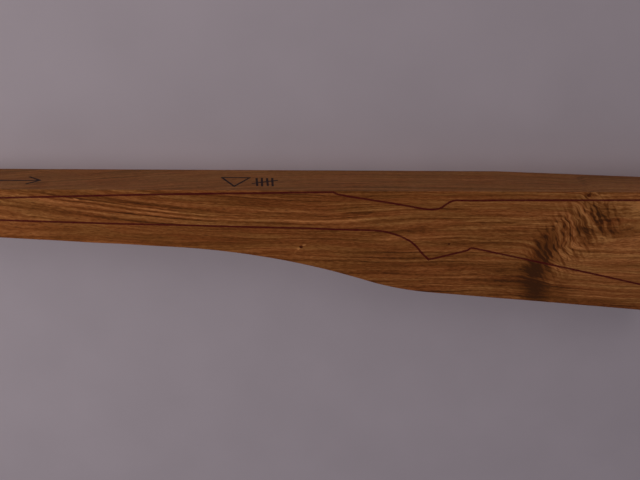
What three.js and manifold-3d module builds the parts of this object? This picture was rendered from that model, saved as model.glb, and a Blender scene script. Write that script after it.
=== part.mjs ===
// A sawn walnut blank for a one-piece long-gun stock: the plank itself, the small
// encased knots that sit loose in its marked face, and the wax that seals both ends.
//
// Millimetres, +Z up. The origin is the centre of the base. +X runs from the fore-end
// to the butt, +Y to the straight top edge, and the marked face looks along +Z.

import * as THREE from "three";
import { mergeVertices } from "three/addons/utils/BufferGeometryUtils.js";
import Module from "manifold-3d";

const wasm = await Module();
wasm.setup();

// The plank
const LENGTH = 830; // sawn end to sawn end
const THICKNESS = 57; // a 2 1/4 inch plank
const FOREND_DEPTH = 57.6; // top edge to belly at the fore-end
const BUTT_DEPTH = 156; // top edge to belly at the butt, its deepest section

// The belly: a straight line, a hollow curve, a rounded curve and a straight line
const FOREND_SLOPE = THREE.MathUtils.degToRad(3.2);
const BUTT_SLOPE = THREE.MathUtils.degToRad(5.2);
const FOREND_STRAIGHT = 267; // fore-end to the start of the hollow curve, along X
const HOLLOW_RADIUS = 837;
const GRIP_RADIUS = 332;
const ARC_SEGMENTS = 14;

// The saw ran out towards the butt, so the top edge leans back there
const RUNOUT_FALL = 7; // how far the back arris has dropped at the butt
const RUNOUT_LENGTH = 187; // butt to the start of the drop
const RUNOUT_STEPS = 8;

// The end seals and the knots
const WAX_THICKNESS = 1.5;
const KNOT_GAP = 0.3; // the bark line all round a knot
const KNOT_TAPER = 0.6; // a knot's inner radius over its radius at the face
const KNOT_SEGMENTS = 20;
const CUT_OVERSHOOT = 1; // how far a pocket's cutter stands out of the face

const FOREND_X = -LENGTH / 2;
const BUTT_X = LENGTH / 2;
const TOP_Y = BUTT_DEPTH / 2;

// Each knot: its place on the marked face, its radius there and how deep it goes
const KNOTS = [
  { name: "wrist_pin_knot", x: FOREND_X + 414.4, drop: 71.6, radius: 1.7, reach: 9 },
  { name: "grip_pin_knot", x: FOREND_X + 585, drop: 66.7, radius: 1.2, reach: 6 },
  { name: "comb_pin_knot", x: BUTT_X - 92, drop: 4.1, radius: 1.8, reach: 5 },
];

const WALNUT = { color: 0x5f3a1e, roughness: 0.62, metalness: 0 };
const KNOT_WOOD = { color: 0x2a160c, roughness: 0.7, metalness: 0 };
const WAX = { color: 0xc9b684, roughness: 0.45, metalness: 0 };

function toSolid(geometry) {
  const bare = geometry.clone();
  bare.deleteAttribute("normal");
  bare.deleteAttribute("uv");
  const merged = mergeVertices(bare, 1e-4);
  return new wasm.Manifold(
    new wasm.Mesh({
      numProp: 3,
      vertProperties: new Float32Array(merged.attributes.position.array),
      triVerts: new Uint32Array(merged.index.array),
    }),
  );
}

function toGeometry(solid) {
  const { vertProperties, triVerts } = solid.getMesh();
  const geometry = new THREE.BufferGeometry();
  geometry.setAttribute("position", new THREE.BufferAttribute(vertProperties, 3));
  geometry.setIndex(new THREE.BufferAttribute(triVerts, 1));
  geometry.computeVertexNormals();
  return geometry;
}

function piece(name, geometry, look) {
  const mesh = new THREE.Mesh(geometry, new THREE.MeshStandardMaterial(look));
  mesh.name = name;
  return mesh;
}

// The belly's two arcs. The hollow one leaves the fore-end line after its straight
// stretch. The rounded one touches it and the butt line, so its centre slides along a
// line parallel to the butt line until the two arcs meet.
function bellyArcs() {
  const foreWay = new THREE.Vector2(Math.cos(FOREND_SLOPE), -Math.sin(FOREND_SLOPE));
  const buttWay = new THREE.Vector2(Math.cos(BUTT_SLOPE), -Math.sin(BUTT_SLOPE));
  const outOfFore = new THREE.Vector2(foreWay.y, -foreWay.x);
  const intoButt = new THREE.Vector2(-buttWay.y, buttWay.x);
  const hollowStart = new THREE.Vector2(FOREND_X, TOP_Y - FOREND_DEPTH).addScaledVector(
    foreWay,
    FOREND_STRAIGHT / foreWay.x,
  );
  const hollow = hollowStart.clone().addScaledVector(outOfFore, HOLLOW_RADIUS);
  const grip = new THREE.Vector2(BUTT_X, TOP_Y - BUTT_DEPTH).addScaledVector(
    intoButt,
    GRIP_RADIUS,
  );
  const apart = grip.clone().sub(hollow);
  const along = apart.dot(buttWay);
  const reach = HOLLOW_RADIUS + GRIP_RADIUS;
  grip.addScaledVector(buttWay, Math.sqrt(along ** 2 - apart.lengthSq() + reach ** 2) - along);
  const meeting = grip.clone().sub(hollow).angle();
  return { hollow, grip, meeting };
}

// The marked face, drawn from the fore-end's top corner down and round by the belly
function outline() {
  const { hollow, grip, meeting } = bellyArcs();
  const hollowStart = Math.PI / 2 - FOREND_SLOPE;
  const gripEnd = (3 * Math.PI) / 2 - BUTT_SLOPE;
  const shape = new THREE.Shape();
  shape.moveTo(FOREND_X, TOP_Y);
  shape.lineTo(FOREND_X, TOP_Y - FOREND_DEPTH);
  shape.absarc(hollow.x, hollow.y, HOLLOW_RADIUS, hollowStart, meeting, true);
  shape.absarc(grip.x, grip.y, GRIP_RADIUS, meeting + Math.PI, gripEnd, false);
  shape.lineTo(BUTT_X, TOP_Y - BUTT_DEPTH);
  for (let step = 0; step <= RUNOUT_STEPS; step += 1) {
    shape.lineTo(BUTT_X - (RUNOUT_LENGTH * step) / RUNOUT_STEPS, TOP_Y);
  }
  shape.closePath();
  return shape;
}

// How far the back arris of the top edge has dropped at x
function runout(x) {
  const start = BUTT_X - RUNOUT_LENGTH;
  return (Math.max(0, x - start) / RUNOUT_LENGTH) * RUNOUT_FALL;
}

function plank() {
  const geometry = new THREE.ExtrudeGeometry(outline(), {
    depth: THICKNESS,
    bevelEnabled: false,
    curveSegments: ARC_SEGMENTS,
  });
  const { position } = geometry.attributes;
  for (let i = 0; i < position.count; i += 1) {
    if (position.getZ(i) === 0 && position.getY(i) === TOP_Y) {
      position.setY(i, TOP_Y - runout(position.getX(i)));
    }
  }
  return toSolid(geometry);
}

// A tapered peg from `reach` below the marked face to `above` over it, `gap` larger
// all round than the knot itself
function taperedPeg({ x, drop, radius, reach }, gap, above) {
  const inner = radius * KNOT_TAPER;
  const outer = inner + ((radius - inner) * (reach + above)) / reach;
  const profile = [
    new THREE.Vector2(0, -reach),
    new THREE.Vector2(inner + gap, -reach),
    new THREE.Vector2(outer + gap, above),
    new THREE.Vector2(0, above),
  ];
  const peg = new THREE.LatheGeometry(profile, KNOT_SEGMENTS);
  peg.rotateX(Math.PI / 2);
  peg.translate(x, TOP_Y - drop, THICKNESS);
  return peg;
}

// A wax plate over one end section, whose back top corner has dropped by `fall`
function waxPlate(depth, fall, x) {
  const section = new THREE.Shape();
  section.moveTo(TOP_Y - depth, 0);
  section.lineTo(TOP_Y - fall, 0);
  section.lineTo(TOP_Y, THICKNESS);
  section.lineTo(TOP_Y - depth, THICKNESS);
  section.closePath();
  const plate = new THREE.ExtrudeGeometry(section, { depth: WAX_THICKNESS, bevelEnabled: false });
  const turn = new THREE.Matrix4().makeBasis(
    new THREE.Vector3(0, 1, 0),
    new THREE.Vector3(0, 0, 1),
    new THREE.Vector3(1, 0, 0),
  );
  plate.applyMatrix4(turn);
  plate.translate(x, 0, 0);
  return toGeometry(toSolid(plate));
}

const blank = new THREE.Group();
const wood = KNOTS.reduce(
  (solid, knot) => solid.subtract(toSolid(taperedPeg(knot, KNOT_GAP, CUT_OVERSHOOT))),
  plank(),
);
blank.add(piece("walnut_blank", toGeometry(wood), WALNUT));
for (const knot of KNOTS) {
  blank.add(piece(knot.name, toGeometry(toSolid(taperedPeg(knot, 0, 0))), KNOT_WOOD));
}
blank.add(piece("forend_end_wax", waxPlate(FOREND_DEPTH, 0, FOREND_X - WAX_THICKNESS), WAX));
blank.add(piece("butt_end_wax", waxPlate(BUTT_DEPTH, RUNOUT_FALL, BUTT_X), WAX));

export default blank;
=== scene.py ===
"""A sawn walnut stock blank: a worn plank with figured grain, its knots, the wax on
its ends, the drawn stock pattern and the maker's marks, on a plain floor."""

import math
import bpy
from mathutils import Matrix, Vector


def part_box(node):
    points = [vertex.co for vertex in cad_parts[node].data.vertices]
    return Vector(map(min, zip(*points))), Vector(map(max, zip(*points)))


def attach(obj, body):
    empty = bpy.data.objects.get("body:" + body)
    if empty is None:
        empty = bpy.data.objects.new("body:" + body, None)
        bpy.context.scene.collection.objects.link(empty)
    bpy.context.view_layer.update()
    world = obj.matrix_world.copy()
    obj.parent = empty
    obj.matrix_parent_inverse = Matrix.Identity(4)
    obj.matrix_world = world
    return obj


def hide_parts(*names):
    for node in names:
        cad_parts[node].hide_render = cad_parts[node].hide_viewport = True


bl_info = {
    "name": "Walnut Stock Blank",
    "version": (1, 0, 0),
    "blender": (4, 5, 0),
    "location": "View3D > Sidebar > Stock Blank",
    "description": "Builds a sawn walnut blank with its drawn stock pattern and waxed ends",
    "category": "Add Mesh",
}

import bmesh
import bpy
import numpy as np
from mathutils import Matrix, Vector, noise

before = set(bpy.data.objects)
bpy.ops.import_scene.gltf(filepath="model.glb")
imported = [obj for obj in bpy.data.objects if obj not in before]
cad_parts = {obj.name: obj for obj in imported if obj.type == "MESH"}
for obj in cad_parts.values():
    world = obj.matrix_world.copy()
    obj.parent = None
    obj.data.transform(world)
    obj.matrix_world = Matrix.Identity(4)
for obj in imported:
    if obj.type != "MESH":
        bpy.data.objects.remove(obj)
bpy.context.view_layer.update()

MM = 0.001
SMALL = 0.01 * MM
BODY = "root"
PLANK = "walnut_blank"
KNOTS = ("wrist_pin_knot", "grip_pin_knot", "comb_pin_knot")
KNOT_SIDES = 28
KNOT_TAPER = 0.6  # a peg's radius at its foot as a share of that at its face
BARK_GAP = 0.3 * MM
WAXED_ENDS = (("forend_end_wax", -1), ("butt_end_wax", 1))

PLANK_LOW, PLANK_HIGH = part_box(PLANK)
TOP = PLANK_HIGH.y
THICK = PLANK_HIGH.z


def linear(code):
    """An sRGB hex colour as the linear values that a shader takes."""
    parts = [int(code[i : i + 2], 16) / 255 for i in (1, 3, 5)]
    return tuple(c / 12.92 if c <= 0.04045 else ((c + 0.055) / 1.055) ** 2.4 for c in parts)


# ---------------------------------------------------------------------------
# Settings
# ---------------------------------------------------------------------------


def length_setting(name, description, default):
    return bpy.props.FloatProperty(
        name=name, description=description, default=default, unit="LENGTH", precision=5
    )


def colour_setting(name, description, code):
    return bpy.props.FloatVectorProperty(
        name=name, description=description, default=linear(code), subtype="COLOR"
    )


def power_setting(name, description, watts):
    return bpy.props.FloatProperty(name=name, description=description, default=watts, unit="POWER")


class PlankSettings(bpy.types.PropertyGroup):
    """The plank's worn surface and its wood."""

    station: length_setting("Station", "Distance between cross-sections", 2 * MM)
    arris: length_setting("Arris", "Radius of the eased long edges", 0.8 * MM)
    waver: length_setting("Waver", "How far the bandsaw wandered on the belly", 0.18 * MM)
    darkest: colour_setting("Latewood", "Darkest lines of the figure", "#4d270d")
    dark: colour_setting("Dark heartwood", "Dark bands", "#733e16")
    middle: colour_setting("Heartwood", "Most of the face", "#8f5225")
    light: colour_setting("Light heartwood", "Light golden bands", "#a86a38")
    lightest: colour_setting("Fleck", "Palest streaks", "#c9864d")
    # the top edge's grey: partly a film from handling, partly painted sheen where light glances off
    # the edge
    dust_and_sheen: colour_setting("Dust", "Grey film on the handled top edge", "#9a7048")


class InkSettings(bpy.types.PropertyGroup):
    """The drawn stock pattern and the maker's marks."""

    line: length_setting("Line", "Width of a pattern line", 2.4 * MM)
    mark: length_setting("Mark", "Width of a stroke on the top edge", 2.6 * MM)
    film: length_setting("Film", "How proud the ink stands", 0.05 * MM)
    tremor: length_setting("Tremor", "How far the hand strayed", 0.35 * MM)
    red: colour_setting("Red ink", "Pattern lines", "#520a0b")
    black: colour_setting("Black ink", "Marks on the top edge", "#15171f")


class WaxSettings(bpy.types.PropertyGroup):
    """The wax on the sawn ends."""

    lap: length_setting("Lap", "How far the wax was brushed round the edges", 9 * MM)
    film: length_setting("Film", "Thickness of the wax on the sides", 0.25 * MM)
    colour: colour_setting("Wax", "Milky paraffin", "#ddd0b4")


class StageSettings(bpy.types.PropertyGroup):
    """Floor, lights and camera."""

    floor: colour_setting("Floor", "Plain pale floor", "#c3b8c2")
    key: power_setting("Key", "Left light", 17)
    back: power_setting("Back", "Light behind", 8)
    front: power_setting("Front", "Front light", 3.5)
    sky: bpy.props.FloatProperty(name="Sky", description="Even light all round", default=0.15)
    tilt: bpy.props.FloatProperty(
        name="Tilt",
        description="Camera off the marked face's normal, towards the top edge",
        default=math.radians(28),
        subtype="ANGLE",
    )
    roll: bpy.props.FloatProperty(
        name="Roll", description="Camera roll", default=math.radians(0.28), subtype="ANGLE"
    )
    away: length_setting("Away", "Camera to the marked face", 1132.75 * MM)
    lens: bpy.props.FloatProperty(
        name="Lens", description="Focal length", default=55.4, unit="CAMERA"
    )


class BlankSettings(bpy.types.PropertyGroup):
    """All that a user would change."""

    plank: bpy.props.PointerProperty(type=PlankSettings)
    ink: bpy.props.PointerProperty(type=InkSettings)
    wax: bpy.props.PointerProperty(type=WaxSettings)
    stage: bpy.props.PointerProperty(type=StageSettings)


# ---------------------------------------------------------------------------
# Small tools
# ---------------------------------------------------------------------------


def add(tree, kind, inputs=None, **settings):
    """A new node with its settings, fed with values or other nodes' sockets. Gives its
    first live output."""
    made = tree.nodes.new(kind)
    for name, value in settings.items():
        setattr(made, name, value)
    live = [s for s in made.inputs if s.enabled]
    for name, value in (inputs or {}).items():
        socket = live[name] if isinstance(name, int) else next(s for s in live if s.name == name)
        if isinstance(value, bpy.types.NodeSocket):
            tree.links.new(value, socket)
        else:
            socket.default_value = value
    return next((s for s in made.outputs if s.enabled), None)


def evenly(tree, value, low, high, start, end, way="LINEAR"):
    """Goes from `start` to `end` as the value goes from `low` to `high`."""
    inputs = {"Value": value, "From Min": low, "From Max": high, "To Min": start, "To Max": end}
    return add(tree, "ShaderNodeMapRange", inputs, interpolation_type=way)


def eased(tree, value, low, high, start, end):
    """The same with a gentle beginning and end."""
    return evenly(tree, value, low, high, start, end, "SMOOTHSTEP")


def mixed(tree, factor, first, second, **settings):
    """A colour between two, the second where the factor is 1."""
    inputs = {"Factor": factor, "A": first, "B": second}
    return add(tree, "ShaderNodeMix", inputs, data_type="RGBA", **settings)


def stray_from(tree, noise_colour, reach, strength):
    """A push in any direction, up to half of `reach` times the strength."""
    half = (0.5, 0.5, 0.5)
    push = add(tree, "ShaderNodeVectorMath", {0: noise_colour, 1: half}, operation="SUBTRACT")
    push = add(tree, "ShaderNodeVectorMath", {0: push, 1: reach}, operation="MULTIPLY")
    return add(tree, "ShaderNodeVectorMath", {0: push, "Scale": strength}, operation="SCALE")


def new_material(name):
    material = bpy.data.materials.new(name)
    material.use_nodes = True
    material.node_tree.nodes.clear()
    return material


# Bare wood scatters almost all of its sheen
DRY_WOOD = {"IOR": 1.45, "Specular_IOR_Level": 0.14}


def finish_material(tree, **shader_inputs):
    """The Principled shader with these inputs, linked to the material's output."""
    inputs = {name.replace("_", " "): value for name, value in shader_inputs.items()}
    surface = add(tree, "ShaderNodeBsdfPrincipled", inputs)
    add(tree, "ShaderNodeOutputMaterial", {"Surface": surface})


def new_object(name, mesh):
    made = bpy.data.objects.new(name, mesh)
    bpy.context.scene.collection.objects.link(made)
    return made


def mesh_of(name, points, faces):
    """A closed mesh with its faces turned outwards."""
    mesh = bpy.data.meshes.new(name)
    mesh.from_pydata(points, [], faces)
    bm = bmesh.new()
    bm.from_mesh(mesh)
    bmesh.ops.recalc_face_normals(bm, faces=bm.faces)
    bm.to_mesh(mesh)
    bm.free()
    return mesh


def shade(mesh, crease):
    """Smooth shading, with edges sharper than crease kept sharp."""
    bm = bmesh.new()
    bm.from_mesh(mesh)
    for face in bm.faces:
        face.smooth = True
    for edge in bm.edges:
        edge.smooth = edge.calc_face_angle(0) < crease
    bm.to_mesh(mesh)
    bm.free()


def apply_modifiers(thing):
    """Turns what the modifiers make into the object's plain mesh."""
    seen = thing.evaluated_get(bpy.context.evaluated_depsgraph_get())
    mesh = bpy.data.meshes.new_from_object(seen)
    thing.modifiers.clear()
    thing.data = mesh


def rings_to_faces(rings, size):
    """Faces between successive rings of `size` points, and one over each end."""
    faces = []
    for ring in range(rings - 1):
        for i in range(size):
            j = (i + 1) % size
            a, b = ring * size, (ring + 1) * size
            faces.append((a + i, a + j, b + j, b + i))
    faces.append(tuple(reversed(range(size))))
    faces.append(tuple((rings - 1) * size + i for i in range(size)))
    return faces


def wander(x, row, pitch):
    """Smooth noise from -1 to 1 along x, with a bump about every `pitch` metres. Each
    row has its own."""
    row_apart = 7.31
    return noise.noise(Vector((x / pitch, row * row_apart, 0.5)))


# ---------------------------------------------------------------------------
# The plank
# ---------------------------------------------------------------------------


def back_edges():
    """The back face's belly and top edges, each as its x and its y values in order."""
    forend_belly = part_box("forend_end_wax")[0].y + SMALL
    corners = {tuple(v.co[:2]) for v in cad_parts[PLANK].data.vertices if v.co.z < SMALL}
    belly = sorted(c for c in corners if c[1] < forend_belly)
    top = sorted(c for c in corners if c[1] > forend_belly)
    return np.array(belly).T, np.array(top).T


BELLY, TOP_BACK = back_edges()

ARC_STEPS = 4
SIDE_STEPS = (14, 12, 14, 30)  # top edge, back, belly, marked face
SUPPORT = 0.4 * MM  # the row that keeps a flat side flat beside its eased arris
BOTH_ARRISES = 2.6  # radii taken off a side, as its far arris may be the larger one


def section(x, arris, waver, grow=0.0):
    """The worn cross-section at x as (y, z) points. It runs down the top edge, along the
    back, up the belly and back over the marked face. `grow` moves each side outwards."""
    belly = float(np.interp(x, *BELLY)) + waver * wander(x, 5, 34 * MM)
    top_back = float(np.interp(x, *TOP_BACK))
    corners = [
        Vector((TOP + grow, THICK + grow)),
        Vector((top_back + grow, -grow)),
        Vector((belly - grow, -grow)),
        Vector((belly - grow, THICK + grow)),
    ]
    points = []
    for i, corner in enumerate(corners):
        before = (corners[i - 1] - corner).normalized()
        after = (corners[(i + 1) % 4] - corner).normalized()
        # handling rounds an arris unevenly, and a knock here and there rounds it more
        knock = max(0, wander(x, i + 11, 9 * MM) - 0.35)
        worn = 0.35 * wander(x, i, 22 * MM) + 0.5 * knock
        radius = arris * (1 + worn) + max(grow, 0)
        for step in range(ARC_STEPS + 1):
            turn = math.pi / 2 * step / ARC_STEPS
            blend = before * (1 - math.sin(turn)) + after * (1 - math.cos(turn))
            points.append(corner + radius * blend)
        run = (corners[(i + 1) % 4] - corner).length
        for step in range(SIDE_STEPS[i] + 1):
            share = step / SIDE_STEPS[i]
            reach = radius + SUPPORT + share * (run - BOTH_ARRISES * radius - 2 * SUPPORT)
            points.append(corner + after * reach)
    return points


def plank_stations(step):
    """Where the cross-sections stand, closer at the eased ends, and how far each is
    drawn in there."""
    low, high = PLANK_LOW.x, PLANK_HIGH.x
    ease = [(0, -0.7 * MM), (0.2 * MM, -0.25 * MM), (0.7 * MM, 0)]
    count = round((high - low) / step)
    inner = [(low + (high - low) * i / count, 0) for i in range(1, count)]
    ends = [(low + x, grow) for x, grow in ease], [(high - x, grow) for x, grow in ease[::-1]]
    return ends[0] + inner + ends[1]


def knot_pocket(name):
    """A cutter for one knot's pocket: its peg with the bark gap all round, standing a
    little out of the face."""
    low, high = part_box(name)
    outer = (high.x - low.x) / 2
    inner = KNOT_TAPER * outer
    above = 1 * MM
    taper = (outer - inner) / (high.z - low.z)
    bm = bmesh.new()
    bmesh.ops.create_cone(
        bm,
        cap_ends=True,
        segments=KNOT_SIDES,
        radius1=inner + BARK_GAP,
        radius2=outer + BARK_GAP + taper * above,
        depth=high.z - low.z + above,
    )
    centre = Vector(((low.x + high.x) / 2, (low.y + high.y) / 2, (low.z + high.z + above) / 2))
    bmesh.ops.translate(bm, verts=bm.verts, vec=centre)
    mesh = bpy.data.meshes.new(name + "_pocket")
    bm.to_mesh(mesh)
    bm.free()
    return new_object(name + "_pocket", mesh)


def mark_sawn_sides(mesh):
    """Stores on each point how much it belongs to the top edge, the belly and an end."""
    sides = mesh.attributes.new("sawn_side", "FLOAT_VECTOR", "POINT")
    values = np.zeros((len(mesh.vertices), 3), np.float32)
    for vertex in mesh.vertices:
        n = vertex.normal
        values[vertex.index] = (max(0, n.y) ** 2, max(0, -n.y) ** 2, n.x**2)
    sides.data.foreach_set("vector", values.ravel())


class BLANK_OT_plank(bpy.types.Operator):
    """Build the plank with its eased arrises and knot pockets"""

    bl_idname = "stock_blank.plank"
    bl_label = "Plank"

    def execute(self, context):
        settings = context.scene.stock_blank.plank
        stations = plank_stations(settings.station)
        points = []
        for x, grow in stations:
            ring = section(x, settings.arris, settings.waver, grow)
            points.extend((x, y, z) for y, z in ring)
        mesh = mesh_of("plank", points, rings_to_faces(len(stations), len(ring)))
        plank = new_object("plank", mesh)
        pockets = [knot_pocket(name) for name in KNOTS]
        for pocket in pockets:
            cut = plank.modifiers.new(pocket.name, "BOOLEAN")
            cut.object = pocket
            cut.solver = "EXACT"
        apply_modifiers(plank)
        for pocket in pockets:
            bpy.data.objects.remove(pocket)
        shade(plank.data, math.radians(40))
        mark_sawn_sides(plank.data)
        plank.data.materials.clear()
        plank.data.materials.append(planed_walnut(settings))
        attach(plank, BODY)
        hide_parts(PLANK)
        return {"FINISHED"}


# ---------------------------------------------------------------------------
# Walnut
# ---------------------------------------------------------------------------

# The grain field works in mm along the blank, down from the top edge and up from the
# back face. PITH is the tree's centre seen from the blank, so a board's faces, edges and
# ends show one set of rings, and TANGENT points round them.
PITH = (0, 260, -150)
TANGENT = (0, 0.72, 0.69)
RING_PITCH = 4.8
SHADE_DEPTH = 70  # how far a shade or streak goes in from the marked face

# Where the grain slides: first and last place along, slide before and after them, and
# the depth where the slide is whole with how far from it the slide has died away. A
# line of the grain runs at its own depth less the slide.
SLIDES = (
    (-560, 40, 54, 0, -6, 96),
    (10, 150, 0, 7, 26, 42),
    (205, 420, 0, -16, 125, 65),
)

# The fold at the crotch: where it starts and ends along the blank, how deep it starts
# on its left and on its right, where it is deepest and where it has closed, and how far
# the lines fall in it.
FOLD_START, FOLD_END = 250, 322
FOLD_TOP, FOLD_TOP_AFTER = 46, -40
FOLD_DEEPEST, FOLD_CLOSED = 84, 138
FOLD_FALL = 38

# Soft shades on the wood: place along, place down, turn in degrees, half length, half
# width, share of them at full strength, and strength. Dark ones are negative.
SHADES = (
    (82, 80, 0, 66, 32, 0.2, -0.08),
    (-35, 13, 2, 95, 13, 0, -0.14),
    (-335, 30, 5, 70, 50, 0, 0.1),
    (274, 112, 92, 58, 27, 0.1, -0.44),
    (279, 134, 90, 26, 26, 0, -0.26),
    (275, 92, 96, 26, 20, 0, -0.16),
    (244, 112, 2, 52, 32, 0, -0.36),
    (285, 66, 108, 38, 27, 0, -0.44),
    (320, 52, 40, 40, 18, 0, -0.3),
    (343, 44, 60, 13, 6, 0, -0.26),
    (348, 34, 50, 46, 20, 0.1, -0.3),
    (480, 70, 0, 440, 260, 0, 0.24),
    (400, 30, 0, 40, 16, 0, 0.14),
    (410, 19, 0, 41, 9, 0.86, 0.36),
    (320, 100, 8, 60, 14, 0, 0.1),
    (350, 147, 5, 100, 11, 0.2, -0.36),
    (302, 128, 0, 32, 24, 0, -0.26),
    (120, 100, 8, 130, 30, 0, -0.06),
    (323, 3.5, 0, 8, 4, 0.2, -0.4),
    (338, 6, 0, 16, 5, 0, 0.3),
    (3.2, 69, -15, 3.4, 1.6, 0.2, 0.6),
    (-3.4, 74, -50, 3.6, 2.4, 0.1, 0.5),
    (-7, 78, -45, 3, 2, 0, 0.2),
    (68, 27.4, -3, 30, 2.4, 0.3, -0.42),
    (156, 22, 0, 48, 2, 0.3, -0.45),
    (172, 47.8, -2, 70, 3, 0.2, 0.3),
    (150, 86.6, 0, 76, 2, 0.2, -0.2),
    (206, 102.5, 0, 66, 6, 0.2, -0.2),
    (-254, 12, 20, 4, 1.2, 0.4, 0.6),
    (-106, 4, 0, 14, 2.4, 0.2, -0.3),
)

# Long streaks that follow the grain, in the same form
STREAKS = (
    (-190, 31.6, 0, 210, 2.6, 0.1, -0.26),
    (-190, 34.8, 0, 170, 0.9, 0.1, -0.3),
    (-190, 36.4, 0, 170, 1.3, 0.1, 0.36),
    (-190, 38.3, 0, 160, 1.0, 0.1, -0.3),
    (-195, 40.4, 0, 160, 1.7, 0.1, 0.32),
    (-200, 42.8, 0, 150, 1.2, 0.1, -0.3),
    (-200, 45.2, 0, 150, 1.8, 0, 0.24),
    (-230, 48.6, 0, 160, 1.8, 0, -0.22),
    (-230, 54.6, 0, 160, 2.4, 0, 0.2),
    (20, 33.3, 0, 150, 1.8, 0, -0.32),
    (0, 38.5, 0, 160, 2.6, 0, 0.26),
    (60, 35, 0, 100, 1.2, 0, -0.2),
    (100, 62, 0, 60, 1.6, 0, 0.3),
    (110, 78, 0, 90, 1.6, 0, -0.24),
    (232, 44.4, 0, 80, 1.4, 0, -0.28),
    (225, 41.6, 0, 80, 1.8, 0, 0.16),
    (225, 48.2, 0, 76, 1.8, 0, 0.26),
    (180, 50.4, 0, 90, 1.6, 0, 0.16),
    (220, 66, 0, 80, 6, 0, -0.1),
    (150, 130, 0, 70, 2.4, 0, -0.3),
    (120, 122, 0, 70, 2.4, 0, 0.24),
    (330, 128, 0, 90, 2, 0, -0.3),
)

# The way the crotch's short dashes slant
FEATHER_TURN = (0, 0, math.radians(-60))

# The quiet wood along the fore-end's belly, in the form of a shade
CALM = ((-250, 58, 3, 270, 26, 0.3, -0.3),)

# The curly wood over the grip, in the same form
CROTCH = (
    (304, 60, 118, 90, 54, 0.1, 1.0),
    (346, 32, 40, 46, 32, 0.2, 0.55),
)


def ellipses(tree, coordinates, shapes):
    """The sum of soft ellipses, each strongest at its middle and fading through the
    plank's thickness."""
    total = 0.0
    for along, down, turn, half_length, half_width, core, strength in shapes:
        local = add(
            tree,
            "ShaderNodeMapping",
            {
                "Vector": coordinates,
                "Location": (along, down, THICK / MM),
                "Rotation": (0, 0, math.radians(turn)),
                "Scale": (half_length, half_width, SHADE_DEPTH),
            },
            vector_type="TEXTURE",
        )
        away = add(tree, "ShaderNodeVectorMath", {0: local}, operation="LENGTH")
        away = away.node.outputs["Value"]
        soft = eased(tree, away, 1, core, 0, strength)
        total = add(tree, "ShaderNodeMath", {0: soft, 1: total}, operation="ADD")
    return total


def stretched_noise(tree, coordinates, lengths, detail=2.0, roughness=0.5):
    """Noise whose bumps measure `lengths` mm along, across and round the rings."""
    scale = tuple(1 / length for length in lengths)
    scaled = add(tree, "ShaderNodeMapping", {"Vector": coordinates, "Scale": scale})
    return add(
        tree,
        "ShaderNodeTexNoise",
        {"Vector": scaled, "Scale": 1, "Detail": detail, "Roughness": roughness},
    )


def grain_coordinates(tree):
    """Blank coordinates in mm, the same ones bent by the wood's wander, then along the
    grain, the ring coordinates and the crotch mask."""
    here = add(tree, "ShaderNodeTexCoord").node.outputs["Object"]
    plain = add(
        tree,
        "ShaderNodeMapping",
        {"Vector": here, "Location": (0, TOP / MM, 0), "Scale": (1 / MM, -1 / MM, 1 / MM)},
    )
    crotch = ellipses(tree, plain, CROTCH)

    # a slow wander everywhere and a tight curl in the crotch
    bent = plain
    for lengths, reach, strength in (
        ((170, 45, 70), (0, 5, 9), 1.0),
        ((40, 9, 16), (6, 1.1, 4), 1.0),
        ((16, 13, 14), (6, 4.5, 6), crotch),
    ):
        stray = stretched_noise(tree, plain, lengths, 1).node.outputs["Color"]
        stray = stray_from(tree, stray, reach, strength)
        bent = add(tree, "ShaderNodeVectorMath", {0: bent, 1: stray}, operation="ADD")

    parts = add(tree, "ShaderNodeSeparateXYZ", {0: bent}).node.outputs
    down = parts["Y"]
    for first, last, before, after, middle, reach in SLIDES:
        slide = eased(tree, parts["X"], first, last, before, after)
        off = add(tree, "ShaderNodeMath", {0: parts["Y"], 1: middle}, operation="SUBTRACT")
        off = add(tree, "ShaderNodeMath", {0: off}, operation="ABSOLUTE")
        near = eased(tree, off, 0, reach, 1, 0)
        down = add(tree, "ShaderNodeMath", {0: slide, 1: near, 2: down}, operation="MULTIPLY_ADD")
    top = eased(tree, parts["X"], FOLD_START + 30, FOLD_END + 20, FOLD_TOP, FOLD_TOP_AFTER)
    across = eased(tree, parts["X"], FOLD_START, FOLD_END, 0, -FOLD_FALL)
    opened = eased(tree, parts["Y"], top, FOLD_DEEPEST, 0, 1)
    closed = eased(tree, parts["Y"], FOLD_DEEPEST, FOLD_CLOSED, 1, 0)
    fold = add(tree, "ShaderNodeMath", {0: opened, 1: closed}, operation="MULTIPLY")
    down = add(tree, "ShaderNodeMath", {0: fold, 1: across, 2: down}, operation="MULTIPLY_ADD")
    along_grain = add(tree, "ShaderNodeCombineXYZ", {0: parts["X"], 1: down, 2: parts["Z"]})

    spoke = add(tree, "ShaderNodeVectorMath", {0: along_grain, 1: PITH}, operation="SUBTRACT")
    spoke = add(tree, "ShaderNodeVectorMath", {0: spoke, 1: (0, 1, 1)}, operation="MULTIPLY")
    radius = add(tree, "ShaderNodeVectorMath", {0: spoke}, operation="LENGTH").node.outputs["Value"]
    round_ring = add(tree, "ShaderNodeVectorMath", {0: spoke, 1: TANGENT}, operation="DOT_PRODUCT")
    round_ring = round_ring.node.outputs["Value"]
    rings = add(tree, "ShaderNodeCombineXYZ", {0: parts["X"], 1: radius, 2: round_ring})
    return plain, bent, along_grain, rings, crotch


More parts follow.
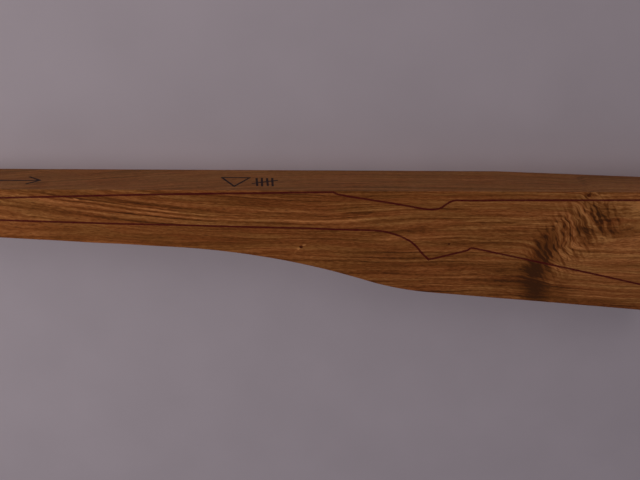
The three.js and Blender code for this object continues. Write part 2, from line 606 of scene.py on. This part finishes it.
def walnut_figure(settings):
    """A node group that gives the wood's colour and the height of its pores anywhere in
    the blank, so that ink and wax show the same wood through."""
    known = bpy.data.node_groups.get("Walnut figure")
    if known:
        return known
    tree = bpy.data.node_groups.new("Walnut figure", "ShaderNodeTree")
    for name, kind in (("Color", "NodeSocketColor"), ("Height", "NodeSocketFloat")):
        tree.interface.new_socket(name, in_out="OUTPUT", socket_type=kind)
    plain, bent, along_grain, rings, crotch = grain_coordinates(tree)

    # the shades' edges are ragged, and more so in the crotch
    ragged = add(tree, "ShaderNodeMath", {0: crotch, 1: 12, 2: 3}, operation="MULTIPLY_ADD")
    stray = stretched_noise(tree, plain, (20, 12, 30), 3, 0.6).node.outputs["Color"]
    stray = stray_from(tree, stray, (1, 1, 1), ragged)
    ragged_place = add(tree, "ShaderNodeVectorMath", {0: plain, 1: stray}, operation="ADD")
    shades = ellipses(tree, ragged_place, SHADES)
    streaks = ellipses(tree, along_grain, STREAKS)
    bands = stretched_noise(tree, rings, (300, 8, 120), 1.5)
    streaky = stretched_noise(tree, rings, (190, 2.5, 50), 2)
    lines = stretched_noise(tree, rings, (84, 1.1, 14), 3, 0.62)
    fibres = stretched_noise(tree, rings, (6.5, 0.8, 3), 2, 0.6)

    # growth rings: a dark line every 5 mm or so that fades on one side
    ring = add(tree, "ShaderNodeSeparateXYZ", {0: rings}).node.outputs["Y"]
    ring = add(tree, "ShaderNodeMath", {0: ring, 1: 1 / RING_PITCH}, operation="MULTIPLY")
    ring = add(tree, "ShaderNodeMath", {0: bands, 1: 2.2, 2: ring}, operation="MULTIPLY_ADD")
    ring = add(tree, "ShaderNodeMath", {0: ring}, operation="FRACT")
    late = eased(tree, ring, 0.35, 0.9, 0, 1)
    early = eased(tree, ring, 0.9, 1, 1, 0)
    line = add(tree, "ShaderNodeMath", {0: late, 1: early}, operation="MULTIPLY")

    # each pattern's middle, its gain and how much stronger it is in the crotch; the
    # darkest shades and the quiet wood hide them
    seen = eased(tree, shades, -0.6, -0.15, 0.55, 1)
    calm = ellipses(tree, plain, CALM)
    seen = add(tree, "ShaderNodeMath", {0: seen, 1: calm}, operation="ADD")
    tone = add(tree, "ShaderNodeMath", {0: shades, 1: streaks}, operation="ADD")
    for pattern, middle, gain, more in (
        (bands, 0.5, 0.45, 0.2),
        (streaky, 0.5, 0.72, 0.2),
        (lines, 0.5, 1.1, -0.2),
        (fibres, 0.5, 0.9, -0.2),
        (line, 0.3, -0.16, 0.5),
    ):
        swing = add(tree, "ShaderNodeMath", {0: pattern, 1: middle}, operation="SUBTRACT")
        boost = add(tree, "ShaderNodeMath", {0: crotch, 1: more, 2: 1}, operation="MULTIPLY_ADD")
        swing = add(tree, "ShaderNodeMath", {0: swing, 1: boost}, operation="MULTIPLY")
        swing = add(tree, "ShaderNodeMath", {0: swing, 1: seen}, operation="MULTIPLY")
        tone = add(tree, "ShaderNodeMath", {0: swing, 1: gain, 2: tone}, operation="MULTIPLY_ADD")

    # the crotch's feather: short dark dashes across the folded lines
    slanted = add(tree, "ShaderNodeMapping", {"Vector": bent, "Rotation": FEATHER_TURN})
    feather = stretched_noise(tree, slanted, (16, 3.6, 12), 1)
    dashes = eased(tree, feather, 0.56, 0.34, 0.1, -0.42)
    tone = add(tree, "ShaderNodeMath", {0: dashes, 1: crotch, 2: tone}, operation="MULTIPLY_ADD")
    tone = add(tree, "ShaderNodeMath", {0: tone, 1: 0.5}, operation="ADD")

    ramp = add(tree, "ShaderNodeValToRGB", {0: tone})
    stops = ramp.node.color_ramp.elements
    colours = (settings.darkest, settings.dark, settings.middle, settings.light, settings.lightest)
    for position, colour in zip((0.0, 0.25, 0.5, 0.75, 1.0), colours):
        stop = stops[0] if position == 0 else stops[-1] if position == 1 else stops.new(position)
        stop.position = position
        stop.color = (*colour, 1)

    # some of it leans to red and some to olive
    lean = stretched_noise(tree, rings, (90, 6, 60), 2)
    olive = eased(tree, lean, 0.35, 0.65, 0, 1)
    tint = mixed(tree, olive, (1.04, 0.965, 0.97, 1), (0.965, 1.03, 1.0, 1))
    ramp = mixed(tree, 1.0, ramp, tint, blend_type="MULTIPLY")

    # open pores are 0.2 mm wide, and drawn at 0.6 mm so that they show
    pores = stretched_noise(tree, rings, (7, 0.6, 1.2), 1)
    pores = eased(tree, pores, 0.56, 0.74, 0, 1)
    open_pores = add(tree, "ShaderNodeMath", {0: pores, 1: 0.5}, operation="MULTIPLY")
    colour = mixed(tree, open_pores, ramp, (*settings.darkest, 1))
    height = add(tree, "ShaderNodeMath", {0: lines, 1: pores}, operation="SUBTRACT")
    add(tree, "NodeGroupOutput", {"Color": colour, "Height": height})
    return tree


def planed_walnut(settings):
    """Black walnut heartwood, planed and left bare: open pores, a dry satin face, a
    bandsawn belly with cross lines and a top edge greyed partly by a film from handling
    and partly by painted sheen."""
    material = new_material("Planed black walnut")
    tree = material.node_tree
    wood = add(tree, "ShaderNodeGroup", node_tree=walnut_figure(settings))
    figure = wood.node.outputs
    sides = add(tree, "ShaderNodeAttribute", attribute_name="sawn_side").node.outputs["Vector"]
    sides = add(tree, "ShaderNodeSeparateXYZ", {0: sides}).node.outputs
    here = add(tree, "ShaderNodeTexCoord").node.outputs["Object"]

    # greys the top edge, picked out by its normal: partly a film from handling, partly painted
    # sheen where light glances off it
    dust_and_sheen_mask = add(tree, "ShaderNodeTexNoise", {"Vector": here, "Scale": 25, "Detail": 3})
    dust_and_sheen_mask = evenly(tree, dust_and_sheen_mask, 0.3, 0.7, 0.22, 0.42)
    dust_and_sheen_mask = add(tree, "ShaderNodeMath", {0: dust_and_sheen_mask, 1: sides["X"]}, operation="MULTIPLY")
    colour = mixed(tree, dust_and_sheen_mask, figure["Color"], (*settings.dust_and_sheen, 1))

    # the bandsaw left a shallow wave across the belly about every 15 mm
    teeth = add(
        tree,
        "ShaderNodeTexWave",
        {"Vector": here, "Scale": 21, "Distortion": 2.2, "Detail": 2, "Detail Scale": 5},
        bands_direction="X",
    )
    teeth = teeth.node.outputs["Fac"]
    scored = add(tree, "ShaderNodeMath", {0: teeth, 1: sides["Y"]}, operation="MULTIPLY")
    pale = add(tree, "ShaderNodeMath", {0: scored, 1: 0.16}, operation="MULTIPLY")
    colour = mixed(tree, pale, colour, (*settings.light, 1))

    height = figure["Height"]
    relief = add(tree, "ShaderNodeMath", {0: scored, 1: 1.4, 2: height}, operation="MULTIPLY_ADD")
    bump = add(tree, "ShaderNodeBump", {"Height": relief, "Strength": 0.6, "Distance": 0.06 * MM})
    rough = evenly(tree, height, -0.5, 1, 0.7, 0.5)
    finish_material(tree, Base_Color=colour, Roughness=rough, Normal=bump, **DRY_WOOD)
    return material


# ---------------------------------------------------------------------------
# Knots
# ---------------------------------------------------------------------------


def knot_mesh(name):
    """A tapered peg with a ragged rim and a slightly dished top. Its heart_place
    attribute runs from 0 at the heart to 1 at the rim."""
    low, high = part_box(name)
    middle = (low + high) / 2
    outer = (high.x - low.x) / 2
    inner = KNOT_TAPER * outer
    dish = 0.12 * MM

    # rings from the foot's centre up the side to the face's centre: share of the radius,
    # radius and height
    levels = [(0, inner, low.z), (0.5, inner, low.z), (1, inner, low.z)]
    levels += [(1, inner + (outer - inner) * s, low.z + (high.z - low.z) * s) for s in (0.5, 0.9)]
    levels += [(1, outer * 0.97, high.z - 0.02 * MM)]
    levels += [(s, outer, high.z - dish * (1 - s)) for s in (0.85, 0.6, 0.35, 0.12)]
    points, places = [], []
    for share, radius, z in levels:
        for side in range(KNOT_SIDES):
            angle = 2 * math.pi * side / KNOT_SIDES
            way = Vector((math.cos(angle), math.sin(angle)))
            ragged = 1 + 0.06 * noise.noise(Vector((3 * way.x, 3 * way.y, z / outer)))
            offset = way * max(share, 0.02) * radius * min(ragged, 1)
            points.append((middle.x + offset.x, middle.y + offset.y, z))
            places.append((*(offset / outer), 0))
    mesh = mesh_of(name + "_peg", points, rings_to_faces(len(levels), KNOT_SIDES))
    place = mesh.attributes.new("heart_place", "FLOAT_VECTOR", "POINT")
    place.data.foreach_set("vector", np.array(places, np.float32).ravel())
    shade(mesh, math.radians(50))
    return mesh


def knot_heartwood():
    """The dense, dark end grain of a small dead branch, with tight rings."""
    material = new_material("Dead knot heartwood")
    tree = material.node_tree
    place = add(tree, "ShaderNodeAttribute", attribute_name="heart_place").node.outputs["Vector"]
    out = add(tree, "ShaderNodeVectorMath", {0: place}, operation="LENGTH").node.outputs["Value"]
    grain = add(tree, "ShaderNodeTexNoise", {"Vector": place, "Scale": 3, "Detail": 4})
    ring = add(tree, "ShaderNodeMath", {0: grain, 1: 0.6, 2: out}, operation="MULTIPLY_ADD")
    ring = add(tree, "ShaderNodeMath", {0: ring, 1: 24}, operation="MULTIPLY")
    ring = add(tree, "ShaderNodeMath", {0: ring}, operation="SINE")
    tone = evenly(tree, ring, -1, 1, 0.15, 0.85)
    colour = mixed(tree, tone, (*linear("#431a06"), 1), (*linear("#6c3010"), 1))
    bump = add(tree, "ShaderNodeBump", {"Height": grain, "Strength": 0.5, "Distance": 0.1 * MM})
    finish_material(tree, Base_Color=colour, Roughness=0.7, Normal=bump, **DRY_WOOD)
    return material


class BLANK_OT_knots(bpy.types.Operator):
    """Build the encased knots"""

    bl_idname = "stock_blank.knots"
    bl_label = "Knots"

    def execute(self, context):
        heartwood = knot_heartwood()
        for name in KNOTS:
            peg = new_object(name + "_peg", knot_mesh(name))
            peg.data.materials.append(heartwood)
            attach(peg, BODY)
            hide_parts(name)
        return {"FINISHED"}


# ---------------------------------------------------------------------------
# Wax on the ends
# ---------------------------------------------------------------------------


def wax_mesh(name, side, settings, arris):
    """A brushed wax cap: a film that laps unevenly round the edges, except underneath,
    and a thicker skin over the sawn end."""
    low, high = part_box(name)
    sawn = high.x if side < 0 else low.x
    outside = low.x if side < 0 else high.x
    skin = abs(outside - sawn)
    least_lap = 0.2 * MM
    rim = section(sawn, arris, 0)
    centre = sum(rim, Vector((0, 0))) / len(rim)

    def lap_at(i):
        """How far the wax reaches from the sawn end at this point of the rim."""
        y, z = rim[i]
        brush = 0.65 + 0.5 * noise.noise(Vector((y / (9 * MM), z / (9 * MM), side * 3.0)))
        drip = max(0, noise.noise(Vector((y / (4 * MM), z / (4 * MM), 8.0 + side)))) ** 2
        lifted = min(1, z / (6 * MM))
        return settings.lap * lifted * (brush + 1.2 * drip) + least_lap

    def ring(share, grow):
        """A ring of the lap, from its edge at share 0 to the sawn end at share 1."""
        made = []
        for i in range(len(rim)):
            x = sawn - side * lap_at(i) * (1 - share)
            y, z = section(x, arris, 0, grow)[i]
            made.append((x, y, max(z, 0)))
        return made

    def end_ring(pull, share, out):
        """A ring over the sawn end: `pull` in from its edge, then a share of the way to
        its centre."""
        made = []
        for y, z in section(sawn, arris, 0, settings.film):
            to_centre = centre - Vector((y, z))
            near = to_centre.normalized() * pull
            y, z = Vector((y, z)) + near + (to_centre - near) * share
            ridge = 0.18 * MM * noise.noise(Vector((y / (14 * MM), z / (5 * MM), 2.0)))
            made.append((sawn + side * (out + ridge * min(1, share * 8)), y, max(z, 0)))
        return made

    # from under the lap's edge, over the arris and in towards the sawn end's centre
    film = settings.film
    rings = [ring(0, -0.04 * MM), ring(0.02, film * 0.7), ring(0.12, film)]
    rings += [ring(share, film) for share in (0.4, 0.7, 0.9)]
    rings += [end_ring(0, 0, skin * 0.3), end_ring(0.35 * skin, 0, skin * 0.75)]
    rings += [end_ring(skin, 0, skin * 0.95)]
    rings += [end_ring(skin, share, skin) for share in (0.06, 0.15, 0.3, 0.45, 0.6, 0.75, 0.9)]
    size = len(rim)
    points = [p for made in rings for p in made]
    faces = rings_to_faces(len(rings), size)

    # a fan closes the hidden first ring, whose straight sides can't hold one flat face
    hub = len(points)
    points.append((sawn - side * least_lap, *centre))
    faces[-2:-1] = [((i + 1) % size, i, hub) for i in range(size)]
    mesh = mesh_of(name + "_coat", points, faces)
    shade(mesh, math.radians(60))
    return mesh


def brushed_wax(settings, wood_settings):
    """Paraffin brushed on hot: milky and satin, thin enough for the end grain's rings to
    show through, with soft brush ridges."""
    material = new_material("Brushed paraffin wax")
    tree = material.node_tree
    wood = add(tree, "ShaderNodeGroup", node_tree=walnut_figure(wood_settings))
    here = add(tree, "ShaderNodeTexCoord").node.outputs["Object"]
    cloud = add(tree, "ShaderNodeTexNoise", {"Vector": here, "Scale": 70, "Detail": 4})
    milky = evenly(tree, cloud, 0.3, 0.7, 0.5, 0.78)
    colour = mixed(tree, milky, wood.node.outputs["Color"], (*settings.colour, 1))
    streaky = add(tree, "ShaderNodeMapping", {"Vector": here, "Scale": (200, 60, 600)})
    ridges = add(tree, "ShaderNodeTexNoise", {"Vector": streaky, "Scale": 1, "Detail": 3})
    bump = add(tree, "ShaderNodeBump", {"Height": ridges, "Strength": 0.5, "Distance": 0.3 * MM})
    rough = evenly(tree, cloud, 0.3, 0.7, 0.5, 0.34)
    finish_material(
        tree,
        Base_Color=colour,
        Roughness=rough,
        IOR=1.43,
        Subsurface_Weight=0.15,
        Subsurface_Radius=(2 * MM, 1.4 * MM, 0.8 * MM),
        Subsurface_Scale=1.0,
        Normal=bump,
    )
    return material


class BLANK_OT_end_wax(bpy.types.Operator):
    """Build the wax on both sawn ends"""

    bl_idname = "stock_blank.end_wax"
    bl_label = "End Wax"

    def execute(self, context):
        settings = context.scene.stock_blank
        wax = brushed_wax(settings.wax, settings.plank)
        for name, side in WAXED_ENDS:
            mesh = wax_mesh(name, side, settings.wax, settings.plank.arris)
            coat = new_object(name + "_coat", mesh)
            coat.data.materials.append(wax)
            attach(coat, BODY)
            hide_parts(name)
        return {"FINISHED"}


# ---------------------------------------------------------------------------
# Ink
# ---------------------------------------------------------------------------

# The stock pattern's strokes, each a smooth run of points in mm along the blank and
# down from the top edge. A corner is where one stroke ends and the next begins.
PATTERN = (
    ((-398, 12.4), (-339, 10.5), (-271, 8.6), (-204, 6.5), (-114, 4.3), (-46, 3.0), (35.6, 1.5)),
    ((35.6, 1.5), (44, 4.8), (77, 10.7), (100, 14.5), (123, 18.8)),
    ((123, 18.8), (139, 21.9), (150, 22.4), (158, 20.3), (163, 16.3), (168.6, 12.5), (175, 10.8)),
    ((175, 10.8), (190, 11.2), (224, 10.6), (291, 10.2), (380, 9.6), (403, 9.5)),
    ((403, 9.5), (404.5, 40), (405, 80), (403.5, 120.6)),
    ((-400, 36.8), (-343, 38.7), (-275, 40.7), (-207, 42.6), (-138, 44), (-70, 45.7), (-2, 46.9)),
    ((-2, 46.9), (44, 48.6), (70, 49.3), (90, 50.1), (101, 52.6), (113, 56.8), (125, 63.2)),
    ((125, 63.2), (132, 69.6), (140, 79.5), (147.6, 87.4)),
    ((147.6, 87.4), (170, 81.2), (190, 75.4), (193.6, 73.5), (195.8, 71.7), (201, 72.5)),
    ((201, 72.5), (254, 84.9), (301, 96), (350, 107.5), (403.5, 120.6)),
    ((-398, 12.4), (-402.5, 18), (-404, 25), (-403, 32), (-400, 36.8)),
)

# The maker's marks on the top edge, in mm along the blank and up from the back: a
# triangle that shows which way up boards lie, a tally of five and an arrow to the butt
MARKS = (
    ((-92, 22), (-76, 46)),
    ((-76, 46), (-60, 22)),
    ((-60, 22), (-92, 22)),
    ((-52, 24), (-50, 44)),
    ((-46, 23), (-44.5, 45)),
    ((-40, 24), (-38, 44)),
    ((-34, 23.5), (-32.5, 44.5)),
    ((-56, 38), (-28, 29)),
    ((-348, 33), (-300, 32)),
    ((-312, 42), (-299, 32)),
    ((-299, 32), (-313, 23)),
)


def stroke_tree():
    """Geometry nodes that turn drawn strokes into thin closed ribbons of ink: the line
    strays and swells a little, as a hand's does."""
    tree = bpy.data.node_groups.new("Ink stroke", "GeometryNodeTree")
    for name, kind in (
        ("Geometry", "NodeSocketGeometry"),
        ("Width", "NodeSocketFloat"),
        ("Film", "NodeSocketFloat"),
        ("Tremor", "NodeSocketFloat"),
        ("Seed", "NodeSocketFloat"),
        ("Material", "NodeSocketMaterial"),
    ):
        tree.interface.new_socket(name, in_out="INPUT", socket_type=kind)
    tree.interface.new_socket("Geometry", in_out="OUTPUT", socket_type="NodeSocketGeometry")
    given = add(tree, "NodeGroupInput").node.outputs
    curve = add(
        tree,
        "GeometryNodeResampleCurve",
        {"Curve": given["Geometry"], "Length": 1.4 * MM},
        mode="LENGTH",
    )
    place = add(tree, "GeometryNodeInputPosition")
    stray = add(
        tree,
        "ShaderNodeTexNoise",
        {"Vector": place, "W": given["Seed"], "Scale": 45, "Detail": 2},
        noise_dimensions="4D",
    ).node.outputs["Color"]
    stray = stray_from(tree, stray, (1, 1, 0), given["Tremor"])
    curve = add(tree, "GeometryNodeSetPosition", {"Geometry": curve, "Offset": stray})
    press = add(
        tree,
        "ShaderNodeTexNoise",
        {"Vector": place, "W": given["Seed"], "Scale": 60, "Detail": 3},
        noise_dimensions="4D",
    )
    press = evenly(tree, press, 0.25, 0.75, 0.72, 1.2)
    tip = add(tree, "GeometryNodeCurvePrimitiveCircle", {"Resolution": 8, "Radius": 0.5})
    film = add(tree, "ShaderNodeMath", {0: given["Film"], 1: 2}, operation="MULTIPLY")
    size = add(tree, "ShaderNodeCombineXYZ", {0: given["Width"], 1: film, 2: 1})
    tip = add(tree, "GeometryNodeTransform", {"Geometry": tip, "Scale": size})
    curve = add(tree, "GeometryNodeSetCurveNormal", {"Curve": curve}, mode="Z_UP")
    curve = add(tree, "GeometryNodeSetCurveRadius", {"Curve": curve, "Radius": press})
    ribbon = add(
        tree,
        "GeometryNodeCurveToMesh",
        {"Curve": curve, "Profile Curve": tip, "Fill Caps": True},
    )
    ribbon = add(tree, "GeometryNodeRealizeInstances", {0: ribbon})
    ribbon = add(
        tree, "GeometryNodeSetMaterial", {"Geometry": ribbon, "Material": given["Material"]}
    )
    add(tree, "NodeGroupOutput", {"Geometry": ribbon})
    return tree


def smooth_run(points):
    """Points on a Catmull-Rom curve through the given ones."""
    if len(points) == 2:
        return list(points)
    ends = [points[0] * 2 - points[1], *points, points[-1] * 2 - points[-2]]
    steps = 8
    run = []
    for a, b, c, d in zip(ends, ends[1:], ends[2:], ends[3:]):
        pull, bend, twist = c - a, 2 * a - 5 * b + 4 * c - d, 3 * b - 3 * c + d - a
        for t in (step / steps for step in range(steps)):
            run.append(0.5 * (2 * b + pull * t + bend * t**2 + twist * t**3))
    return [*run, points[-1]]


OVERSHOOT = 0.3  # how far a stroke runs past each end, as a share of its width


def drawn(name, strokes, width, settings, ink, seed, onto):
    """Draws the strokes flat, inks them and lays them on their face with `onto`."""
    curve = bpy.data.curves.new(name, "CURVE")
    curve.dimensions = "3D"
    for stroke in strokes:
        run = smooth_run([Vector(point) * MM for point in stroke])
        # overshot strokes cross at the corners
        start, end = run[0] - run[1], run[-1] - run[-2]
        run = [run[0] + start.normalized() * OVERSHOOT * width, *run]
        run.append(run[-1] + end.normalized() * OVERSHOOT * width)
        spline = curve.splines.new("POLY")
        spline.points.add(len(run) - 1)
        for point, place in zip(spline.points, run):
            point.co = (*place, 0, 1)
    path = new_object(name + "_path", curve)
    modifier = path.modifiers.new("ink", "NODES")
    tree = stroke_tree()
    modifier.node_group = tree
    values = {
        "Width": width,
        "Film": settings.film,
        "Tremor": settings.tremor,
        "Seed": seed,
        "Material": ink,
    }
    for socket in tree.interface.items_tree:
        if socket.in_out == "INPUT" and socket.name in values:
            modifier[socket.identifier] = values[socket.name]
    bpy.context.view_layer.update()
    seen = path.evaluated_get(bpy.context.evaluated_depsgraph_get())
    mesh = bpy.data.meshes.new_from_object(seen)
    bpy.data.objects.remove(path)
    mesh.transform(onto)
    lines = new_object(name, mesh)
    shade(mesh, math.radians(70))
    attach(lines, BODY)
    return lines


def spirit_ink(name, colour, wood_settings):
    """Spirit marker on bare wood: it sinks in, so the figure shows faintly through and
    the line is as dry as the wood."""
    material = new_material(name)
    tree = material.node_tree
    wood = add(tree, "ShaderNodeGroup", node_tree=walnut_figure(wood_settings))
    here = add(tree, "ShaderNodeTexCoord").node.outputs["Object"]
    patchy = add(tree, "ShaderNodeTexNoise", {"Vector": here, "Scale": 160, "Detail": 4})
    cover = evenly(tree, patchy, 0.3, 0.7, 0.82, 1)
    colour = mixed(tree, cover, wood.node.outputs["Color"], (*colour, 1))
    height = wood.node.outputs["Height"]
    bump = add(tree, "ShaderNodeBump", {"Height": height, "Strength": 0.4, "Distance": 0.05 * MM})
    finish_material(tree, Base_Color=colour, Roughness=0.6, Normal=bump, **DRY_WOOD)
    return material


class BLANK_OT_pattern(bpy.types.Operator):
    """Draw the stock pattern on the marked face"""

    bl_idname = "stock_blank.pattern"
    bl_label = "Stock Pattern"

    def execute(self, context):
        settings = context.scene.stock_blank
        ink = spirit_ink("Red spirit marker", settings.ink.red, settings.plank)
        onto = Matrix.Translation((0, TOP, THICK)) @ Matrix.Scale(-1, 4, (0, 1, 0))
        lines = drawn("pattern_lines", PATTERN, settings.ink.line, settings.ink, ink, 2.0, onto)
        lines.data.flip_normals()
        return {"FINISHED"}


class BLANK_OT_marks(bpy.types.Operator):
    """Draw the maker's marks on the top edge"""

    bl_idname = "stock_blank.marks"
    bl_label = "Maker's Marks"

    def execute(self, context):
        settings = context.scene.stock_blank
        ink = spirit_ink("Black spirit marker", settings.ink.black, settings.plank)
        upright = Matrix.Rotation(math.pi / 2, 4, "X")
        onto = Matrix.Translation((0, TOP, 0)) @ upright
        drawn("edge_marks", MARKS, settings.ink.mark, settings.ink, ink, 5.0, onto)
        return {"FINISHED"}


# ---------------------------------------------------------------------------
# Stage
# ---------------------------------------------------------------------------


FLOOR_HALF = 8.0
LOOKED_AT = Vector((21.3 * MM, TOP - 62.3 * MM, THICK))

# The soft lights, all aimed at the blank: the setting that gives their power, place,
# width and colour
LIGHTS = (
    ("key", (-1.8, 0.2, 1.35), 1.4, "#fffaf4"),
    ("back", (-0.1, 1.9, 1.3), 1.8, "#fff6ee"),
    ("front", (0.8, -1.9, 1.2), 1.8, "#f8f6ff"),
)


def matt_paper(colour):
    """Seamless backdrop paper: matt, with a faint mottle."""
    material = new_material("Matt backdrop paper")
    tree = material.node_tree
    here = add(tree, "ShaderNodeTexCoord").node.outputs["Object"]
    mottle = add(tree, "ShaderNodeTexNoise", {"Vector": here, "Scale": 9, "Detail": 3})
    tone = evenly(tree, mottle, 0.3, 0.7, 0.97, 1.03)
    shaded = add(tree, "ShaderNodeVectorMath", {0: tuple(colour), "Scale": tone}, operation="SCALE")
    finish_material(tree, Base_Color=shaded, Roughness=0.9)
    return material


def soft_light(name, place, width, power, colour):
    light = bpy.data.lights.new(name, "AREA")
    light.shape = "DISK"
    light.size = width
    light.energy = power
    light.color = linear(colour)
    lamp = new_object(name, light)
    lamp.location = place
    lamp.rotation_euler = (-Vector(place)).to_track_quat("-Z", "Y").to_euler()


class BLANK_OT_stage(bpy.types.Operator):
    """Set up the floor, the lights and the camera"""

    bl_idname = "stock_blank.stage"
    bl_label = "Stage"

    def execute(self, context):
        settings = context.scene.stock_blank.stage
        half = FLOOR_HALF
        corners = [(-half, -half, 0), (half, -half, 0), (half, half, 0), (-half, half, 0)]
        mesh = bpy.data.meshes.new("floor")
        mesh.from_pydata(corners, [], [(0, 1, 2, 3)])
        floor = new_object("floor", mesh)
        mesh.materials.append(matt_paper(settings.floor))

        for name, place, width, colour in LIGHTS:
            soft_light(name, place, width, getattr(settings, name), colour)
        world = bpy.data.worlds.new("Even sky")
        world.use_nodes = True
        sky = world.node_tree.nodes["Background"]
        sky.inputs["Color"].default_value = (*linear("#e6e2ea"), 1)
        sky.inputs["Strength"].default_value = settings.sky
        context.scene.world = world
        context.scene.view_settings.view_transform = "Standard"

        tilt, roll = settings.tilt, settings.roll
        back = Vector((0, math.sin(tilt), math.cos(tilt)))
        upright = Vector((0, math.cos(tilt), -math.sin(tilt)))
        level = Vector((1, 0, 0))
        right = level * math.cos(roll) + upright * math.sin(roll)
        up = upright * math.cos(roll) - level * math.sin(roll)
        camera = bpy.data.cameras.new("camera")
        camera.lens = settings.lens
        eye = new_object("camera", camera)
        turned = Matrix((right, up, back)).transposed().to_4x4()
        eye.matrix_world = Matrix.Translation(LOOKED_AT + back * settings.away) @ turned
        context.scene.camera = eye
        return {"FINISHED"}


# ---------------------------------------------------------------------------
# Panel and running
# ---------------------------------------------------------------------------

OPERATORS = (
    BLANK_OT_stage,
    BLANK_OT_plank,
    BLANK_OT_knots,
    BLANK_OT_end_wax,
    BLANK_OT_pattern,
    BLANK_OT_marks,
)


class BLANK_PT_panel(bpy.types.Panel):
    """Lists the steps that build the blank, in order"""

    bl_idname = "BLANK_PT_panel"
    bl_label = "Stock Blank"
    bl_space_type = "VIEW_3D"
    bl_region_type = "UI"
    bl_category = "Stock Blank"

    def draw(self, context):
        for step in OPERATORS:
            self.layout.operator(step.bl_idname)


CLASSES = (
    PlankSettings,
    InkSettings,
    WaxSettings,
    StageSettings,
    BlankSettings,
    *OPERATORS,
    BLANK_PT_panel,
)


def register():
    for cls in CLASSES:
        bpy.utils.register_class(cls)
    bpy.types.Scene.stock_blank = bpy.props.PointerProperty(type=BlankSettings)


def unregister():
    del bpy.types.Scene.stock_blank
    for cls in reversed(CLASSES):
        bpy.utils.unregister_class(cls)


def main():
    register()
    bpy.ops.stock_blank.stage()
    bpy.ops.stock_blank.plank()
    bpy.ops.stock_blank.knots()
    bpy.ops.stock_blank.end_wax()
    bpy.ops.stock_blank.pattern()
    bpy.ops.stock_blank.marks()


if __name__ == "__main__":
    main()
